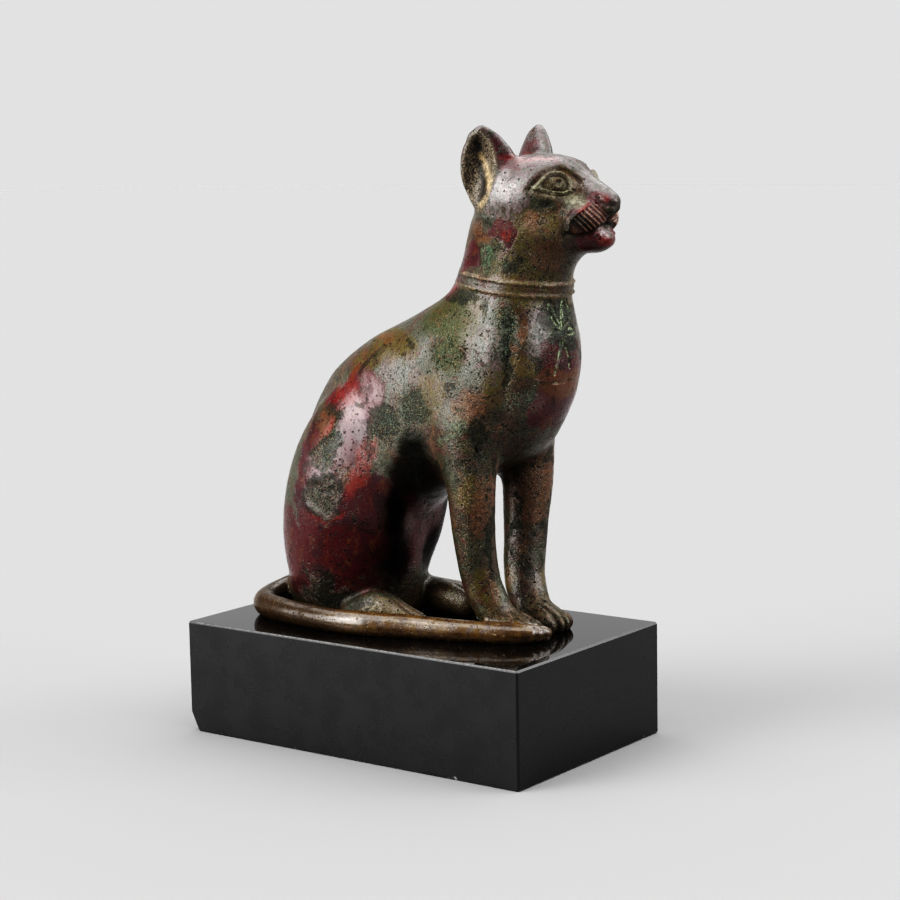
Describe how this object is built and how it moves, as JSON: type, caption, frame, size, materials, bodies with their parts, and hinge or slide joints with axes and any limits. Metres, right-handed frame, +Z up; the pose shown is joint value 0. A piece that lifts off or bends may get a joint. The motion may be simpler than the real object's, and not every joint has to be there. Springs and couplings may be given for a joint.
{
  "type": "seated cat figure",
  "caption": "Seated cat in patinated cast bronze, upright with its tail curled round its right side, on a rectangular block of polished black stone.",
  "frame": {"origin": "centre of the plinth's underside", "axes": "+Z up, -Y the way the cat looks, along the plinth's long side, +X the cat's left"},
  "size_m": [0.077, 0.1359, 0.1889],
  "materials": {
    "bronze": "cast bronze, satin, mottled red, brown and green patina",
    "black_stone": "polished black stone"
  },
  "bodies": {
    "root": {"cat_figure": "bronze", "plinth": "black_stone"}
  },
  "joints": []
}
